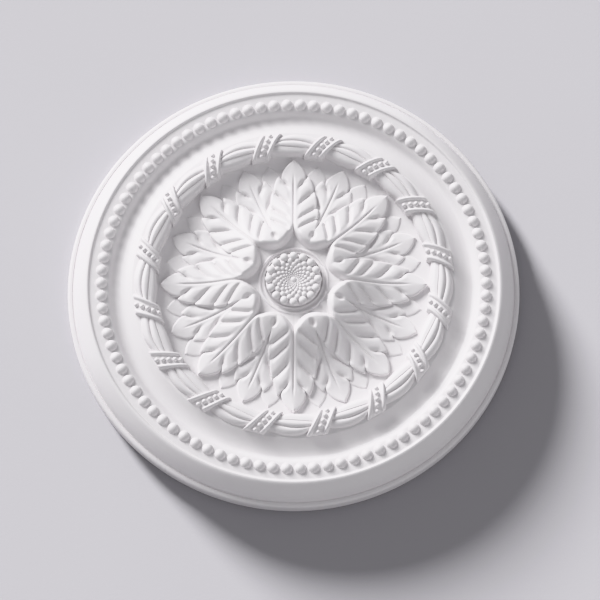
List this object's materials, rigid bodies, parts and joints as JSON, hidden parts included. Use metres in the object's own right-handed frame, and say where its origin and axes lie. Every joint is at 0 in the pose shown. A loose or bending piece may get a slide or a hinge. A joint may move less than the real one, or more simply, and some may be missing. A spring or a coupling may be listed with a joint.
{
  "type": "ceiling rose",
  "caption": "Round carved ceiling rose with a beaded rim, a ribboned reed wreath, a leaf rosette and a seeded centre boss, flat at the back.",
  "frame": {"origin": "centre of the flat back face that lies against the ceiling or wall", "axes": "+Z out of the carved face, away from the ceiling; +X through the tip of a large leaf"},
  "size_m": [0.5, 0.5, 0.053],
  "materials": {
    "white_casting": "satin white primer on a moulded hard foam casting"
  },
  "bodies": {
    "root": {"ceiling_rose": "white_casting"}
  },
  "joints": []
}
